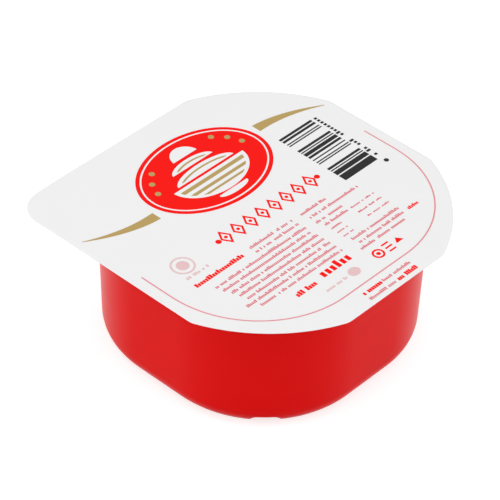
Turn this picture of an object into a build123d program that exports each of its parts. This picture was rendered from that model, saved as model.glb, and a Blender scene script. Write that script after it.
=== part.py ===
"""Sealed single-serve yogurt pot: a thermoformed square pot with wide round corners and a peel lid.

Frame: millimetres, +Z up, origin at the middle of the base. The lid's reading side faces -Y,
and its pointed peel corner is the one at -X, +Y.
The shut pot can't be seen into, so its body is one solid. The lid is a sheet sealed to the flange.
"""

from build123d import *
import math
import os

# Driving dimensions, in mm and degrees
LID_WIDTH = 88.0  # lid, flat to flat, both ways
LID_THICKNESS = 0.2  # printed and heat-sealed sheet
CORNER_CIRCLE = 47.3  # circle about the pot's axis that rounds three of the lid's corners
KINK_ROUND = 5.0  # softens each place where that circle meets a flat
TAB_ROUND = 8.0  # the fourth corner stays nearly square, to be peeled
LID_OVERHANG = 0.9  # the lid stands this far past the flange all round
POT_HEIGHT = 38.0  # base to the top of the lid

FLANGE_THICKNESS = 0.8
FLANGE_ROOT = 1.2  # round between the flange's underside and the wall
MOUTH_WIDTH = 76.8  # body, flat to flat, under the flange
MOUTH_CORNER = 31.0  # corner radius of the body, under the flange
DRAFT = 1.5  # slope of the wall, so that the pot leaves its mould

BASE_ROUND = 5.6  # round between the wall and the base
FOOT_WIDTH = 3.0  # flat ring that the pot stands on
RECESS_DEPTH = 1.5  # base panel above the foot
RECESS_DRAFT = 20.0  # slope of the panel's rim

CORNER_TURNS = (45, 135, 225, 315)
NOTCH_WIDTH = 6.0  # one at each corner of the foot, at its roof
NOTCH_SIDE_ANGLE = 55.0  # slope of the notch's two sides
NOTCH_HEIGHT = 3.7  # roof of the notch where it leaves the wall
NOTCH_CUTTER = 8.0  # depth of the cutter below that roof, enough to pass the base

# Worked out from those
LID_Z = POT_HEIGHT - LID_THICKNESS
FLANGE_Z = LID_Z - FLANGE_THICKNESS
BASE_INSET = FLANGE_Z * math.tan(math.radians(DRAFT))
BASE_WIDTH = MOUTH_WIDTH - 2 * BASE_INSET
BASE_CORNER = MOUTH_CORNER - BASE_INSET
PANEL_INSET = BASE_ROUND + FOOT_WIDTH
PANEL_WIDTH = BASE_WIDTH - 2 * PANEL_INSET
PANEL_CORNER = BASE_CORNER - PANEL_INSET
WALL_DIAGONAL = (BASE_WIDTH / 2 - BASE_CORNER) * math.sqrt(2) + BASE_CORNER
PANEL_DIAGONAL = (PANEL_WIDTH / 2 - PANEL_CORNER) * math.sqrt(2) + PANEL_CORNER
NOTCH_REACH = WALL_DIAGONAL - PANEL_DIAGONAL
NOTCH_SLOPE = math.atan2(NOTCH_HEIGHT - RECESS_DEPTH, NOTCH_REACH)
NOTCH_SPREAD = 2 * NOTCH_CUTTER / math.tan(math.radians(NOTCH_SIDE_ANGLE))

os.makedirs("parts", exist_ok=True)


def round_cornered_square(width, circle):
    """Square with all four corners cut back to a circle about the centre."""
    Rectangle(width, width)
    Circle(circle, mode=Mode.INTERSECT)


def notch_plane(turn):
    """Plane at a corner of the wall, facing in and down along the notch's roof."""
    out_x, out_y = math.cos(math.radians(turn)), math.sin(math.radians(turn))
    return Plane(
        origin=(WALL_DIAGONAL * out_x, WALL_DIAGONAL * out_y, NOTCH_HEIGHT),
        x_dir=(out_y, -out_x, 0),
        z_dir=(
            -out_x * math.cos(NOTCH_SLOPE),
            -out_y * math.cos(NOTCH_SLOPE),
            -math.sin(NOTCH_SLOPE),
        ),
    )


# Pot: tapered body, rounded base with a foot ring, and a flange for the lid
with BuildPart() as tub:
    with BuildSketch(Plane.XY):
        RectangleRounded(BASE_WIDTH, BASE_WIDTH, BASE_CORNER)
    with BuildSketch(Plane.XY.offset(FLANGE_Z)):
        RectangleRounded(MOUTH_WIDTH, MOUTH_WIDTH, MOUTH_CORNER)
    loft()
    fillet(tub.faces().sort_by(Axis.Z)[0].edges(), BASE_ROUND)

    with BuildSketch(Plane.XY):
        RectangleRounded(PANEL_WIDTH, PANEL_WIDTH, PANEL_CORNER)
    extrude(amount=RECESS_DEPTH, taper=RECESS_DRAFT, mode=Mode.SUBTRACT)

    with BuildSketch(*[notch_plane(turn) for turn in CORNER_TURNS]):
        Trapezoid(
            NOTCH_WIDTH + NOTCH_SPREAD,
            NOTCH_CUTTER,
            NOTCH_SIDE_ANGLE,
            align=(Align.CENTER, Align.MAX),
        )
    extrude(amount=NOTCH_REACH + FOOT_WIDTH, mode=Mode.SUBTRACT)

    with BuildSketch(Plane.XY.offset(FLANGE_Z)):
        round_cornered_square(LID_WIDTH - 2 * LID_OVERHANG, CORNER_CIRCLE - LID_OVERHANG)
    extrude(amount=FLANGE_THICKNESS)
    underside = tub.faces().filter_by(Axis.Z).sort_by(Axis.Z)[-2]
    fillet(underside.inner_wires()[0].edges(), FLANGE_ROOT)
tub.part.label = "tub"
export_step(tub.part, "parts/tub.step")

# Lid: flat sheet, round at three corners and pointed at the peel corner
with BuildPart() as lid:
    with BuildSketch(Plane.XY.offset(LID_Z)) as lid_outline:
        round_cornered_square(LID_WIDTH, CORNER_CIRCLE)
        with Locations((-LID_WIDTH / 4, LID_WIDTH / 4)):
            Rectangle(LID_WIDTH / 2, LID_WIDTH / 2)
        corners = lid_outline.vertices().sort_by(Axis((0, 0, 0), (-1, 1, 0)))
        fillet(corners[-1], TAB_ROUND)
        fillet(corners[:-1], KINK_ROUND)
    extrude(amount=LID_THICKNESS)
lid.part.label = "lid"
export_step(lid.part, "parts/lid.step")
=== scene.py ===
"""Sealed yogurt pot: glossy red thermoformed pot under a printed white peel lid.

Everything is in metres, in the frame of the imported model: +Z up, the lid is read from -Y, and its
peel corner points to -X, +Y.
"""

import math
import random

import bmesh
import bpy
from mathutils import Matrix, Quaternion, Vector


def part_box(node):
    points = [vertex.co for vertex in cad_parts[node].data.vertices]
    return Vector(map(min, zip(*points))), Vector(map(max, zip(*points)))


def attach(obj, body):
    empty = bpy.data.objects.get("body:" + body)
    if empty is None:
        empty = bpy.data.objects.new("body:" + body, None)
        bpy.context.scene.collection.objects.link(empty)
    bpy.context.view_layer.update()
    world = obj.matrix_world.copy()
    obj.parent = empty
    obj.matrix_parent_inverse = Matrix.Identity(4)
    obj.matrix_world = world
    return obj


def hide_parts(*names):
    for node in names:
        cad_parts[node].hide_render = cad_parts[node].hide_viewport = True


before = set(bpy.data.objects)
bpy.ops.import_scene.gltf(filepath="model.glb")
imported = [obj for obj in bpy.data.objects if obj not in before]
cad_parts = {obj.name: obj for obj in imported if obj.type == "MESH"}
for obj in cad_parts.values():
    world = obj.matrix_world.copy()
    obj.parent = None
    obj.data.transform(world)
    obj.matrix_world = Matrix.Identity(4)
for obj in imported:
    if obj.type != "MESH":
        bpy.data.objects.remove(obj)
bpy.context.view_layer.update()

MM = 0.001
TUB_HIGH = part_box("tub")[1]
LID_LOW, LID_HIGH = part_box("lid")

# Pot, as the solid model has it
FLANGE_THICKNESS = 0.8 * MM
FLANGE_ROOT = 1.2 * MM
FLANGE_HALF = TUB_HIGH.x
FLANGE_BOTTOM = TUB_HIGH.z - FLANGE_THICKNESS
FLANGE_EDGE = 0.15 * MM  # softens the die-cut edge
MOUTH_HALF = 38.4 * MM
MOUTH_CORNER = 31.0 * MM
WALL_DRAFT = math.radians(1.5)
BASE_ROUND = 5.6 * MM
FOOT_WIDTH = 3.0 * MM
RECESS_DEPTH = 1.5 * MM
RECESS_ROUND = 0.35 * MM
RING_INSET = 6.0 * MM  # stiffening ring in the base panel, from the panel's rim
RING_WIDTH = 1.2 * MM
RING_DEPTH = 0.45 * MM
RING_SLOPE = 0.5 * MM
NOTCH_WIDTH = 6.0 * MM
NOTCH_HEIGHT = 3.7 * MM
NOTCH_SIDE_ANGLE = math.radians(55)
NOTCH_EDGE = 0.7 * MM
NOTCH_CUTTER = 8.0 * MM  # depth of the block, enough to pass the base
NOTCH_OVERRUN = 1.5 * MM  # the block stands out this far at both its ends

# Lid
LID_HALF = LID_HIGH.x
LID_CIRCLE = 47.3 * MM
LID_OVERHANG = LID_HALF - FLANGE_HALF
TAB_ROUND = 8.0 * MM
KINK_BEVEL = 0.95 * MM  # softens each place where the circle meets a flat
EDGE_RINGS = (0.25 * MM, 0.3 * MM, 0.35 * MM)
EDGE_TURN = 0.07 * MM  # the cut edge is pressed down by this much
PEEL_START = FLANGE_HALF * 1.09  # the free corner starts here, along its diagonal
PEEL_PITCH = 1.5 * MM
PEEL_ROWS = 8
PEEL_DROP = 0.008 * MM  # each row of the corner drops this much more than the one before

# Ink on the lid
INK_STEP = 0.02 * MM  # height of one layer of ink over the one below
INK_SINK = 0.01 * MM  # every ink starts this far inside the sheet
LID_TOP = LID_HIGH.z - 3 * INK_STEP
INK_BASE = LID_TOP - INK_SINK

GRAIN = 0.05 * MM  # two places closer than this are the same place
rng = random.Random(5)
pieces = {}  # name of a piece: its object, its material, the CAD node it stands in for


# ---------------------------------------------------------------- tools of the bench


def clear():
    """Leaves edit mode, with nothing selected."""
    if bpy.context.object and bpy.context.object.mode != "OBJECT":
        bpy.ops.object.mode_set(mode="OBJECT")
    bpy.ops.object.select_all(action="DESELECT")


def edit(piece):
    """Opens one piece for modelling."""
    clear()
    piece.select_set(True)
    bpy.context.view_layer.objects.active = piece
    bpy.ops.object.mode_set(mode="EDIT")


def pick(piece, kind, test):
    """In edit mode, selects the vertices, edges or faces whose middle passes the test."""
    bpy.ops.mesh.select_mode(type=kind)
    bpy.ops.mesh.select_all(action="DESELECT")
    net = bmesh.from_edit_mesh(piece.data)
    for part in {"VERT": net.verts, "EDGE": net.edges, "FACE": net.faces}[kind]:
        corners = [part] if kind == "VERT" else part.verts
        middle = sum((v.co for v in corners), Vector()) / len(corners)
        part.select_set(bool(test(middle)))
    net.select_flush_mode()
    bmesh.update_edit_mesh(piece.data)


def settle(piece, name):
    """Puts the piece's place into its mesh, and names it."""
    clear()
    piece.select_set(True)
    bpy.context.view_layer.objects.active = piece
    bpy.ops.object.transform_apply(location=True, rotation=True, scale=True)
    piece.name = name
    piece.data.name = name
    return piece


def modify(piece, kind, **settings):
    """Adds a modifier and applies it."""
    clear()
    bpy.context.view_layer.objects.active = piece
    piece.select_set(True)
    modifier = piece.modifiers.new(kind.lower(), kind)
    for name, value in settings.items():
        setattr(modifier, name, value)
    bpy.ops.object.modifier_apply(modifier=modifier.name)


def fuse(parts, name):
    """Joins separate shapes of one ink or one tool into one piece."""
    clear()
    for part in parts:
        part.select_set(True)
    bpy.context.view_layer.objects.active = parts[0]
    if len(parts) > 1:
        bpy.ops.object.join()
    return settle(bpy.context.object, name)


def cut(piece, tool, operation):
    """Boolean of the piece with a tool, which is used up."""
    modify(piece, "BOOLEAN", object=tool, operation=operation, solver="EXACT")
    bpy.data.objects.remove(tool)


def smooth(piece, degrees):
    """Smooth shading across every edge that turns less than this."""
    clear()
    piece.select_set(True)
    bpy.context.view_layer.objects.active = piece
    bpy.ops.object.shade_smooth_by_angle(angle=math.radians(degrees))


# ---------------------------------------------------------------- pot


def die_cut_face(name, circle, half, height, tab=0.0):
    """Flat face: a disc cut back to four flats. With a tab, its peel corner is drawn out and rounded."""
    bpy.ops.mesh.primitive_circle_add(vertices=240, radius=circle, fill_type="NGON", location=(0, 0, height))
    plate = settle(bpy.context.object, name)
    edit(plate)
    for side_x, side_y in ((1, 0), (-1, 0), (0, 1), (0, -1)):
        bpy.ops.mesh.select_all(action="SELECT")
        bpy.ops.mesh.bisect(
            plane_co=(half * side_x, half * side_y, height),
            plane_no=(side_x, side_y, 0),
            clear_outer=True,
        )
    kink = math.sqrt(circle * circle - half * half)
    if tab:
        pick(plate, "VERT", lambda p: p.x < -kink - GRAIN and p.y > kink + GRAIN)
        bpy.ops.mesh.merge(type="CENTER")
        corner = next(v.co.copy() for v in bmesh.from_edit_mesh(plate.data).verts if v.select)
        bpy.ops.transform.translate(value=(-half - corner.x, half - corner.y, 0))
        bpy.ops.mesh.bevel(offset=tab, segments=14, affect="VERTICES")

    def at_kink(p):
        on_flat = max(abs(p.x), abs(p.y)) > half - GRAIN
        in_tab = tab and p.x < 0 < p.y
        return on_flat and abs(min(abs(p.x), abs(p.y)) - kink) < GRAIN and not in_tab

    pick(plate, "VERT", at_kink)
    bpy.ops.mesh.bevel(offset=KINK_BEVEL, segments=5, affect="VERTICES")
    return plate


def step(inset, drop):
    """Next ring of the pot's skin: in by inset, and down by drop."""
    bpy.ops.mesh.inset(thickness=max(inset, 0.0), depth=drop, use_even_offset=True)


def form_body():
    """The body is drawn down from the flange's underside, ring by ring, to the panel of its base."""
    buried = 0.3 * MM
    top_half = MOUTH_HALF + FLANGE_ROOT
    bpy.ops.mesh.primitive_plane_add(size=2 * top_half, location=(0, 0, FLANGE_BOTTOM + buried))
    body = settle(bpy.context.object, "pot_shell")
    edit(body)
    bpy.ops.mesh.select_mode(type="VERT")
    bpy.ops.mesh.select_all(action="SELECT")
    bpy.ops.mesh.bevel(offset=MOUTH_CORNER + FLANGE_ROOT, segments=36, affect="VERTICES")
    bpy.ops.mesh.select_mode(type="FACE")
    bpy.ops.mesh.select_all(action="SELECT")
    bpy.ops.mesh.flip_normals()
    step(0, buried)
    root_steps, wall_steps, round_steps = 6, 8, 12
    for k in range(root_steps):
        a, b = (math.pi / 2 * i / root_steps for i in (k, k + 1))
        step(FLANGE_ROOT * (math.sin(b) - math.sin(a)), FLANGE_ROOT * (math.cos(a) - math.cos(b)))
    wall = FLANGE_BOTTOM - FLANGE_ROOT - BASE_ROUND
    for k in range(wall_steps):
        step(wall / wall_steps * math.tan(WALL_DRAFT), wall / wall_steps)
    for k in range(round_steps):
        a, b = (math.pi / 2 * i / round_steps for i in (k, k + 1))
        step(BASE_ROUND * (math.cos(a) - math.cos(b)), BASE_ROUND * (math.sin(b) - math.sin(a)))
    step(FOOT_WIDTH, 0)
    step(RECESS_ROUND * 0.5, -RECESS_ROUND * 0.2)
    step(RECESS_ROUND * 0.5, -RECESS_ROUND * 0.8)
    step(RECESS_ROUND, -(RECESS_DEPTH - 2 * RECESS_ROUND))
    step(RECESS_ROUND * 0.5, -RECESS_ROUND * 0.8)
    step(RECESS_ROUND * 0.5, -RECESS_ROUND * 0.2)
    step(RING_INSET, 0)
    step(RING_SLOPE, -RING_DEPTH)
    step(RING_WIDTH, 0)
    step(RING_SLOPE, RING_DEPTH)
    bpy.ops.mesh.select_mode(type="VERT")
    bpy.ops.mesh.select_all(action="DESELECT")
    bpy.ops.mesh.select_non_manifold()
    bpy.ops.mesh.edge_face_add()
    bpy.ops.mesh.select_all(action="SELECT")
    bpy.ops.mesh.normals_make_consistent(inside=False)
    clear()
    return body


def form_flange():
    """Flat sheet left round the mouth, die-cut with a softened edge."""
    flange = die_cut_face("flange", LID_CIRCLE - LID_OVERHANG, FLANGE_HALF, FLANGE_BOTTOM)
    edit(flange)
    bpy.ops.mesh.select_all(action="SELECT")
    bpy.ops.mesh.extrude_region_move(TRANSFORM_OT_translate={"value": (0, 0, FLANGE_THICKNESS)})
    bpy.ops.mesh.select_all(action="SELECT")
    bpy.ops.mesh.normals_make_consistent(inside=False)
    modify(
        flange,
        "BEVEL",
        width=FLANGE_EDGE,
        segments=2,
        limit_method="ANGLE",
        angle_limit=math.radians(50),
    )
    return flange


def notch_tools():
    """Four blocks that press the notches into the corners of the foot."""
    base_half = MOUTH_HALF - FLANGE_BOTTOM * math.tan(WALL_DRAFT)
    base_corner = MOUTH_CORNER - FLANGE_BOTTOM * math.tan(WALL_DRAFT)
    diagonal = (base_half - base_corner) * math.sqrt(2) + base_corner
    run = BASE_ROUND + FOOT_WIDTH  # from the wall to the base panel
    slope = math.atan2(NOTCH_HEIGHT - RECESS_DEPTH, run)
    reach = run + 2 * NOTCH_OVERRUN
    spread = 1 + 2 * NOTCH_CUTTER / math.tan(NOTCH_SIDE_ANGLE) / NOTCH_WIDTH
    blocks = []
    for turn in (45, 135, 225, 315):
        bpy.ops.mesh.primitive_cube_add(size=1)
        bpy.context.object.scale = (reach, NOTCH_WIDTH, NOTCH_CUTTER)
        block = settle(bpy.context.object, "notch_block")
        edit(block)
        pick(block, "FACE", lambda p: p.z < -0.4 * NOTCH_CUTTER)
        bpy.ops.transform.resize(value=(1, spread, 1))
        pick(block, "EDGE", lambda p: p.z > 0.4 * NOTCH_CUTTER and abs(p.y) > 0.4 * NOTCH_WIDTH)
        bpy.ops.mesh.bevel(offset=NOTCH_EDGE, segments=3)
        bpy.ops.mesh.select_all(action="SELECT")
        bpy.ops.transform.translate(value=(-reach / 2 + NOTCH_OVERRUN, 0, -NOTCH_CUTTER / 2))
        clear()
        around = math.radians(turn)
        tilt = Quaternion((0, 0, 1), around) @ Quaternion((0, 1, 0), -slope)
        block.rotation_mode = "QUATERNION"
        block.rotation_quaternion = tilt
        block.location = (diagonal * math.cos(around), diagonal * math.sin(around), NOTCH_HEIGHT)
        blocks.append(settle(block, "notch_block"))
    return fuse(blocks, "notch_blocks")


def make_pot():
    """Body and flange in one closed shell."""
    body = form_body()
    cut(body, notch_tools(), "DIFFERENCE")
    cut(body, form_flange(), "UNION")
    edit(body)
    bpy.ops.mesh.select_all(action="SELECT")
    bpy.ops.mesh.remove_doubles(threshold=0.002 * MM)
    clear()
    smooth(body, 32)
    pieces["pot_shell"] = (settle(body, "pot_shell"), "pot_polystyrene", "tub")


# ---------------------------------------------------------------- lid


def make_lid():
    """One sheet: its edge is turned down a little past the flange, and the free peel corner droops."""
    sheet = die_cut_face("lid_sheet", LID_CIRCLE, LID_HALF, LID_TOP, tab=TAB_ROUND)
    bpy.ops.mesh.select_mode(type="FACE")
    bpy.ops.mesh.select_all(action="SELECT")
    for ring in EDGE_RINGS:
        bpy.ops.mesh.inset(thickness=ring, depth=0, use_even_offset=True)
    diagonal = Vector((-1, 1, 0)).normalized()
    rows = [PEEL_START + k * PEEL_PITCH for k in range(PEEL_ROWS)]
    for row in rows:
        bpy.ops.mesh.select_all(action="SELECT")
        bpy.ops.mesh.bisect(plane_co=diagonal * row + Vector((0, 0, LID_TOP)), plane_no=diagonal)
    for k, row in enumerate(rows):
        pick(sheet, "VERT", lambda p: p.dot(diagonal) > row + 4 * GRAIN)
        bpy.ops.transform.translate(value=(0, 0, -PEEL_DROP * (k + 1)))
    bpy.ops.mesh.select_mode(type="VERT")
    bpy.ops.mesh.select_all(action="DESELECT")
    bpy.ops.mesh.select_non_manifold()
    bpy.ops.transform.translate(value=(0, 0, -EDGE_TURN))
    clear()
    modify(sheet, "SOLIDIFY", thickness=LID_TOP - LID_LOW.z, offset=-1)
    smooth(sheet, 40)
    pieces["lid_sheet"] = (settle(sheet, "lid_sheet"), "lid_laminate", "lid")


# ---------------------------------------------------------------- print


def thicken(piece, layer):
    """Gives a flat printed shape the height of its layer of ink."""
    edit(piece)
    bpy.ops.mesh.select_mode(type="FACE")
    bpy.ops.mesh.select_all(action="DESELECT")
    net = bmesh.from_edit_mesh(piece.data)
    for face in net.faces:
        face.select_set(face.normal.z < 0)
    bmesh.update_edit_mesh(piece.data)
    bpy.ops.mesh.flip_normals()
    clear()
    modify(piece, "SOLIDIFY", thickness=INK_SINK + layer * INK_STEP, offset=1)
    return piece


def oval(x, y, half_width, half_height, sides=64):
    """Filled oval on the lid; sizes in mm."""
    bpy.ops.mesh.primitive_circle_add(
        vertices=sides,
        radius=1,
        fill_type="NGON",
        location=(x * MM, y * MM, INK_BASE),
    )
    bpy.context.object.scale = (half_width * MM, half_height * MM, 1)
    return settle(bpy.context.object, "oval")


def strip(x, y, width, height, turn=0.0, parts=1):
    """Filled rectangle on the lid, in parts along its length; sizes in mm, turn in degrees."""
    bpy.ops.mesh.primitive_grid_add(
        x_subdivisions=parts,
        y_subdivisions=1,
        size=1,
        location=(x * MM, y * MM, INK_BASE),
        rotation=(0, 0, math.radians(turn)),
    )
    bpy.context.object.scale = (width * MM, height * MM, 1)
    return settle(bpy.context.object, "strip")


def keep_side(piece, x, y, side_x, side_y):
    """Cuts a flat shape along a line, and keeps the side that (side_x, side_y) points to."""
    edit(piece)
    bpy.ops.mesh.select_all(action="SELECT")
    bpy.ops.mesh.bisect(
        plane_co=(x * MM, y * MM, INK_BASE), plane_no=(side_x, side_y, 0), clear_inner=True
    )
    clear()
    return piece


def hollow(piece, line):
    """Leaves only a line of that width, in mm, along a flat shape's edge."""
    edit(piece)
    bpy.ops.mesh.select_mode(type="FACE")
    bpy.ops.mesh.select_all(action="SELECT")
    bpy.ops.mesh.inset(thickness=line * MM, depth=0, use_even_offset=True)
    bpy.ops.mesh.delete(type="FACE")
    clear()
    return piece


def repeat(piece, count, pitch):
    """Row of copies along X; pitch in mm."""
    modify(
        piece,
        "ARRAY",
        count=count,
        use_relative_offset=False,
        use_constant_offset=True,
        constant_offset_displace=(pitch * MM, 0, 0),
    )
    return piece


def printed(name, shapes, layer, tint):
    """Makes one piece of all the shapes printed in a tint; a higher layer lies over a lower one."""
    pieces[name] = (thicken(fuse(shapes, name), layer), tint, None)


BADGE = (0.0, 20.4, 20.0, 14.8)  # middle and half sizes of the red badge, in mm


def print_badge():
    """Red oval with a plain bowl sign in white and gold."""
    x, y, half_width, half_height = BADGE
    printed("badge_red", [oval(x, y, half_width, half_height, 96)], 1, "ink_red")
    line = hollow(oval(x, y, half_width - 1.1, half_height - 1.1, 96), 0.45)
    bowl = keep_side(oval(x, y - 1.0, 12.5, 8.6), x, y - 1.3, 0, -1)
    foot = keep_side(oval(x, y - 10.2, 5.0, 1.5, 32), x, y - 10.0, 0, -1)
    swirls = [
        keep_side(oval(x, y - 0.7, 10.0, 3.5), x, y - 0.5, 0, 1),
        keep_side(oval(x - 0.6, y + 3.3, 7.2, 3.0), x, y + 3.6, 0, 1),
        keep_side(oval(x + 0.4, y + 6.9, 4.2, 4.4), x, y + 7.4, 0, 1),
    ]
    printed("badge_white", [line, bowl, foot, *swirls], 2, "lid_laminate")
    bands = [
        keep_side(keep_side(oval(x, y - 1.0, 11.4, 7.8), x, y - high, 0, -1), x, y - low, 0, 1)
        for high, low in ((2.4, 3.6), (4.8, 5.8), (6.9, 7.6))
    ]
    folds = [
        keep_side(hollow(oval(x, y - 0.7, 8.6, 2.4), 0.55), x, y + 0.1, 0, 1),
        keep_side(hollow(oval(x - 0.6, y + 3.3, 5.8, 2.0), 0.55), x, y + 4.1, 0, 1),
    ]
    dots = [
        oval(x + side * across, y + up, 0.8, 0.8, 20)
        for side in (-1, 1)
        for across, up in ((15.3, 1.5), (13.7, 5.2), (10.8, 8.2))
    ]
    printed("badge_gold", bands + folds + dots, 3, "ink_gold")


def print_ribbons():
    """Gold ribbon each side of the badge, thinning to a point and sweeping away."""
    start, length, width, columns = 21.6, 20.0, 3.0, 24
    made = []
    for side in (-1, 1):
        ribbon = strip(side * (start + length / 2), 0, length, width, parts=columns)
        edit(ribbon)
        for column in range(columns + 1):
            along = column / columns
            x = side * (start + length * along) * MM
            pick(ribbon, "VERT", lambda p: abs(p.x - x) < GRAIN)
            thin = 1.0 - 0.93 * along**1.2
            sweep = 19.5 + side * (3.3 - 5.8 * along**1.9)
            bpy.ops.transform.resize(value=(1, thin, 1), center_override=(x, 0, INK_BASE))
            bpy.ops.transform.translate(value=(0, sweep * MM, 0))
        clear()
        made.append(ribbon)
    printed("ribbons_gold", made, 1, "ink_gold")


def print_ornament():
    """Row of lozenges and dots where a title would stand."""
    count, pitch, height = 8, 4.4, -1.6
    first = -(count - 1) / 2 * pitch
    lozenges = repeat(hollow(oval(first, height, 1.75, 2.9, 4), 0.55), count, pitch)
    dots = repeat(oval(first, height, 0.5, 0.5, 16), count, pitch)
    caps = [oval(side * (2.6 - first), height, 0.8, 0.8, 20) for side in (-1, 1)]
    printed("ornament_red", [lozenges, dots, *caps], 1, "ink_red")


def print_border():
    """Thin line that follows the lid's lower edge."""
    across, low, high, corner = 40.9, -37.4, 3.2, 29.5
    ring = strip(0, (low + high) / 2, 2 * across, high - low)
    edit(ring)
    pick(ring, "VERT", lambda p: p.y < 0)
    bpy.ops.mesh.bevel(offset=corner * MM, segments=40, affect="VERTICES")
    hollow(ring, 0.38)
    keep_side(ring, 0, high - 0.8, 0, -1)
    printed("border_red", [ring], 1, "ink_blush")


def bar_block(x, y, width, height, bars):
    """Stack of level bars in three groups, with random gaps; they stand for no code."""
    block = strip(x, y, height, width, 90, parts=bars)
    edit(block)
    low = (y - height / 2) * MM
    cell = height / bars * MM
    blank_share = 0.46
    between_groups = {bars // 3, bars // 3 + 1, 2 * bars // 3}
    blank = {k for k in range(bars) if rng.random() < blank_share} | between_groups
    pick(block, "FACE", lambda p: int((p.y - low) / cell) in blank)
    bpy.ops.mesh.delete(type="FACE")
    bpy.ops.mesh.select_all(action="SELECT")
    bpy.ops.mesh.delete_loose()
    clear()
    return block


def type_rows(rows, letter, height, gap_share=0.2, tall_share=0.3, space_share=0.15):
    """Rows of small blocks that read as fine print from afar and spell nothing.

    rows holds (start x, end x, middle y) in mm; letter and height are one block's pitch and height.
    The shares are of a block's width left blank, of tall blocks, and of blocks left out as spaces.
    """
    made = []
    for start, end, y in rows:
        count = max(2, int((end - start) / letter))
        made.append(strip((start + end) / 2, y, end - start, height, parts=count))
    block = fuse(made, "type_rows")
    edit(block)
    bpy.ops.mesh.select_mode(type="FACE")
    bpy.ops.mesh.select_all(action="SELECT")
    bpy.ops.mesh.inset(thickness=letter * gap_share / 2 * MM, use_individual=True)
    bpy.ops.mesh.select_all(action="INVERT")
    bpy.ops.mesh.delete(type="FACE")
    pick(block, "FACE", lambda p: rng.random() < space_share)
    bpy.ops.mesh.delete(type="FACE")
    bpy.ops.mesh.select_mode(type="VERT")
    bpy.ops.mesh.select_all(action="DESELECT")
    net = bmesh.from_edit_mesh(block.data)
    for face in net.faces:
        if rng.random() < tall_share:
            top = max(v.co.y for v in face.verts)
            for v in face.verts:
                v.select_set(v.co.y > top - 0.001 * MM)
    net.select_flush_mode()
    bmesh.update_edit_mesh(block.data)
    bpy.ops.transform.translate(value=(0, height * 0.35 * MM, 0))
    bpy.ops.mesh.select_all(action="SELECT")
    bpy.ops.mesh.delete_loose()
    clear()
    return block


def print_bars():
    """Black bars, and a column of figure-like ticks and a dot beside them."""
    bars = bar_block(28.2, 4.0, 12.2, 23.6, 58)
    figures = type_rows([(-6.6, 15.4, 0.0)], 1.15, 1.3, 0.35, 0.2, 0.12)
    figures.rotation_euler = (0, 0, math.radians(90))
    figures.location = (35.6 * MM, 0, 0)
    dot = oval(35.6, -9.6, 0.7, 0.7, 20)
    printed("bars_black", [bars, settle(figures, "figures"), dot], 1, "ink_black")


def print_small_type():
    """Blocks of fine print, a bold line and small signs, on the lower half of the lid."""
    indents = (0, 0.5, 1.4, 2.0, 2.6, 0.4, 3.2)
    left = [(-31 + indent, 1.2, -13.1 - 2.0 * k) for k, indent in enumerate(indents)]
    short = [(-15.0, 0.8, -8.8), (-14.4, 1.0, -10.8)]
    right = [(3.8, 13.0, -9.0), (4.0, 22.4, -11.4), (4.2, 14.4, -13.8), (5.2, 13.6, -15.9)]
    lower = [(5.8, 23.2, -24.3), (6.2, 22.8, -26.3), (4.6, 21.0, -28.3)]
    edge = [(-0.6, 9.4, -39.9), (-7.8, 1.6, -42.2)]
    fine = type_rows(left + short + right + lower + edge, 0.55, 0.85, 0.3, 0.25, 0.1)
    printed("small_type", [fine], 1, "ink_rose")
    table = [(5.2, 9.0, y) for y in (-18.0, -20.0, -22.0)] + [(14.8, 23.4, y) for y in (-16, -18.5, -21)]
    printed("table_type", [type_rows(table, 0.62, 0.5)], 1, "ink_rose")
    bold = [
        type_rows([(-34.0, -17.4, -9.4)], 0.8, 1.15, 0.16, 0.35, 0.1),
        type_rows([(-20.2, -12.4, -28.9)], 0.8, 1.3, 0.18, 0.2, 0.08),
        type_rows([(-11.6, 0.8, -28.1)], 1.75, 2.5, 0.34, 0.1, 0.1),
        type_rows([(-7.6, -1.0, -39.9), (2.4, 9.4, -42.2)], 0.7, 1.1, 0.14, 0.3, 0.06),
        type_rows([(24.6, 28.4, -26.3)], 0.6, 0.9),
    ]
    signs = [
        hollow(oval(6.4, -32.4, 1.7, 1.7, 32), 0.55),
        oval(6.4, -32.4, 0.6, 0.6, 16),
        oval(13.8, -32.4, 1.5, 1.2, 3),
        strip(10.2, -31.0, 2.4, 0.5),
        strip(10.2, -32.4, 2.4, 0.5),
        strip(10.2, -33.8, 2.4, 0.5),
    ]
    printed("bold_type", bold + signs, 1, "ink_red")
    seals = [
        hollow(oval(-30.6, -1.6, 3.2, 3.2, 48), 0.5),
        oval(-30.6, -1.6, 1.7, 1.7, 32),
        oval(-2.8, -32.6, 1.8, 1.5, 32),
        type_rows([(-13.0, -5.6, -32.8)], 0.6, 0.8),
        type_rows([(-33.6, -26.0, -6.0)], 0.7, 0.8),
    ]
    printed("seals_pale", seals, 1, "ink_pale")


# ---------------------------------------------------------------- materials


def linear(code):
    """An sRGB hex colour as linear numbers."""
    parts = [int(code[k : k + 2], 16) / 255 for k in (0, 2, 4)]
    return [p / 12.92 if p <= 0.04045 else ((p + 0.055) / 1.055) ** 2.4 for p in parts] + [1.0]


def node(tree, kind, settings=None, **inputs):
    """Adds a node with its settings; an input is a value or another node's output."""
    made = tree.nodes.new(kind)
    for name, value in (settings or {}).items():
        setattr(made, name, value)
    for name, value in inputs.items():
        socket = made.inputs[int(name[1:])] if name[0] == "_" else made.inputs[name.replace("_", " ")]
        if isinstance(value, bpy.types.NodeSocket):
            tree.links.new(value, socket)
        else:
            socket.default_value = value
    return made


def blank_material(name):
    material = bpy.data.materials.new(name)
    material.use_nodes = True
    tree = material.node_tree
    tree.nodes.clear()
    return material, tree


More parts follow.
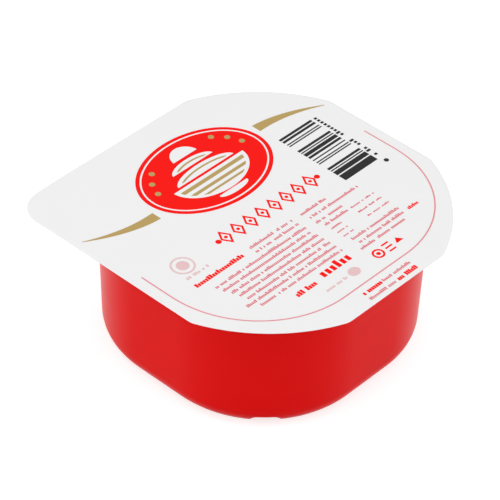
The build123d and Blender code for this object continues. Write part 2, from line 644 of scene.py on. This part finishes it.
def surface(name, light, dark, patch, gloss, grain, relief, ior, specular, stretch=(1, 1, 1)):
    """Base shared by the plastic, the sheet and the inks.

    Two close colours lie in soft patches, the gloss follows them, and a fine relief catches the light.
    patch and grain are sizes in mm, and gloss is the range of roughness.
    """
    material, tree = blank_material(name)
    place = node(tree, "ShaderNodeTexCoord").outputs["Object"]
    patches = node(tree, "ShaderNodeTexNoise", Vector=place, Scale=1 / (patch * MM), Detail=3.0)
    colour = node(
        tree,
        "ShaderNodeMix",
        {"data_type": "RGBA"},
        _0=patches.outputs["Fac"],
        _6=linear(dark),
        _7=linear(light),
    )
    rough = node(
        tree,
        "ShaderNodeMapRange",
        Value=patches.outputs["Fac"],
        To_Min=gloss[0],
        To_Max=gloss[1],
    )
    stretched = node(tree, "ShaderNodeMapping", Vector=place, Scale=stretch)
    grains = node(
        tree, "ShaderNodeTexNoise", Vector=stretched.outputs[0], Scale=1 / (grain * MM), Detail=4.0
    )
    bump = node(
        tree, "ShaderNodeBump", Height=grains.outputs["Fac"], Strength=relief, Distance=0.05 * MM
    )
    shader = node(
        tree,
        "ShaderNodeBsdfPrincipled",
        Base_Color=colour.outputs[2],
        Roughness=rough.outputs[0],
        IOR=ior,
        Specular_IOR_Level=specular,
        Normal=bump.outputs[0],
    )
    node(tree, "ShaderNodeOutputMaterial", Surface=shader.outputs[0])
    return material


def gravure(name, light, dark, gloss=(0.42, 0.52), relief=0.06, specular=0.2):
    """Gravure ink: an even tone, mottled by its cells, which are drawn at 0.5 mm so that they show."""
    return surface(name, light, dark, 0.5, gloss, 0.4, relief, 1.5, specular)


def make_materials():
    return {
        # high-impact polystyrene, thermoformed: deep even red, glossy, with faint upright draw marks
        "pot_polystyrene": surface(
            "thermoformed_polystyrene",
            light="fa1010",
            dark="f50d0d",
            patch=9,
            gloss=(0.26, 0.34),
            grain=6.0,
            relief=0.04,
            ior=1.5,
            specular=0.05,
            stretch=(1, 1, 0.12),
        ),
        # lacquered lidding laminate: neutral white satin with a barely uneven face
        "lid_laminate": surface(
            "lidding_laminate",
            light="efefef",
            dark="ededed",
            patch=14,
            gloss=(0.42, 0.52),
            grain=2.5,
            relief=0.06,
            ior=1.5,
            specular=0.2,
        ),
        # solid red: full tone over white
        "ink_red": gravure("gravure_red", "fb120a", "f40f08", (0.4, 0.5), 0.08, 0.1),
        # gold: a flat bronze pigment without metal gloss
        "ink_gold": gravure("gravure_gold", "bda265", "b2975a", (0.38, 0.46), 0.08),
        # black: thin lines read as dark grey
        "ink_black": gravure("gravure_black", "2c2c2c", "242424", (0.4, 0.5), 0.08),
        # red of the fine print: thin strokes that fill in to rose
        "ink_rose": gravure("gravure_rose", "e06a76", "d8626e"),
        # half tint of the red, for the border line
        "ink_blush": gravure("gravure_blush", "e4929a", "df8a93"),
        # pale tint of the red, for the light signs
        "ink_pale": gravure("gravure_pale", "e6c4c6", "e2bcbf"),
    }


def dress(materials):
    """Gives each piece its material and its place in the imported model."""
    for piece, tint, stood_for in pieces.values():
        piece.data.materials.clear()
        piece.data.materials.append(materials[tint])
        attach(piece, "root")
        if stood_for:
            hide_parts(stood_for)


# ---------------------------------------------------------------- stage, light, camera

FLOOR_SIZE = 30  # m, so that its far edge is out of sight
FLOOR_GLOW = 0.72  # added for the eye and for gloss, so that the floor is white where it's lit
SKY = 0.42
AIM = Vector((0, 0, 0.02))
SOFTBOXES = {  # place and width in m, power in W
    "softbox_top": ((0.0, 0.1, 1.2), 1.2, 7.4),
    "softbox_left": ((-1.1, 0.45, 0.55), 0.9, 5.0),
    "softbox_right": ((0.45, -1.1, 0.55), 0.9, 4.6),
}
CAMERA_LENS = 193.3
CAMERA_SENSOR = 36
CAMERA_AIM = Vector((6.52, 9.99, 13.57)) * MM
CAMERA_DISTANCE = 693.9 * MM
CAMERA_AZIMUTH = math.radians(48.04)  # round to the left of the side that the lid is read from
CAMERA_ELEVATION = math.radians(40.36)
CAMERA_ROLL = math.radians(1.87)


def seen_by(tree, *rays):
    """1 where any of two kinds of ray meets the surface."""
    path = node(tree, "ShaderNodeLightPath")
    return node(
        tree,
        "ShaderNodeMath",
        {"operation": "MAXIMUM"},
        _0=path.outputs[rays[0]],
        _1=path.outputs[rays[1]],
    ).outputs[0]


def make_stage():
    """White sweep: it takes the pot's shadow and is white to the eye elsewhere."""
    clear()
    bpy.ops.mesh.primitive_plane_add(size=FLOOR_SIZE)
    floor = bpy.context.object
    floor.name = "floor"
    material, tree = blank_material("studio_floor")
    seen = seen_by(tree, "Is Camera Ray", "Is Glossy Ray")
    glow = node(tree, "ShaderNodeMath", {"operation": "MULTIPLY"}, _0=seen, _1=FLOOR_GLOW)
    matt = node(tree, "ShaderNodeBsdfDiffuse", Color=linear("c8c8c8"))
    lift = node(tree, "ShaderNodeEmission", Strength=glow.outputs[0])
    both = node(tree, "ShaderNodeAddShader", _0=matt.outputs[0], _1=lift.outputs[0])
    node(tree, "ShaderNodeOutputMaterial", Surface=both.outputs[0])
    floor.data.materials.append(material)


def make_world():
    """Even soft fill, and plain white to the eye."""
    world = bpy.data.worlds.new("studio")
    bpy.context.scene.world = world
    world.use_nodes = True
    tree = world.node_tree
    tree.nodes.clear()
    seen = seen_by(tree, "Is Camera Ray", "Is Transmission Ray")
    fill = node(tree, "ShaderNodeBackground", Color=linear("ffffff"), Strength=SKY)
    white = node(tree, "ShaderNodeBackground", Color=linear("ffffff"), Strength=1.0)
    both = node(tree, "ShaderNodeMixShader", _0=seen, _1=fill.outputs[0], _2=white.outputs[0])
    node(tree, "ShaderNodeOutputWorld", Surface=both.outputs[0])


def make_softbox(name, place, width, power):
    """Square area lamp that faces the pot."""
    bpy.ops.object.light_add(type="AREA", location=place)
    lamp = bpy.context.object
    lamp.name = name
    lamp.data.size = width
    lamp.data.energy = power
    lamp.rotation_mode = "QUATERNION"
    lamp.rotation_quaternion = (AIM - Vector(place)).to_track_quat("-Z", "Y")


def make_camera():
    """Long lens, looking down at the round corner to the left of the reading side."""
    back = Vector(
        (
            -math.sin(CAMERA_AZIMUTH) * math.cos(CAMERA_ELEVATION),
            -math.cos(CAMERA_AZIMUTH) * math.cos(CAMERA_ELEVATION),
            math.sin(CAMERA_ELEVATION),
        )
    )
    bpy.ops.object.camera_add(location=CAMERA_AIM + back * CAMERA_DISTANCE)
    camera = bpy.context.object
    camera.data.lens = CAMERA_LENS
    camera.data.sensor_width = CAMERA_SENSOR
    camera.rotation_mode = "QUATERNION"
    roll = Quaternion((0, 0, 1), CAMERA_ROLL)
    camera.rotation_quaternion = (-back).to_track_quat("-Z", "Y") @ roll
    bpy.context.scene.camera = camera


# ---------------------------------------------------------------- build

make_pot()
make_lid()
print_badge()
print_ribbons()
print_ornament()
print_border()
print_bars()
print_small_type()
dress(make_materials())

make_stage()
make_world()
for softbox, (place, width, power) in SOFTBOXES.items():
    make_softbox(softbox, place, width, power)
make_camera()
bpy.context.scene.view_settings.view_transform = "Standard"
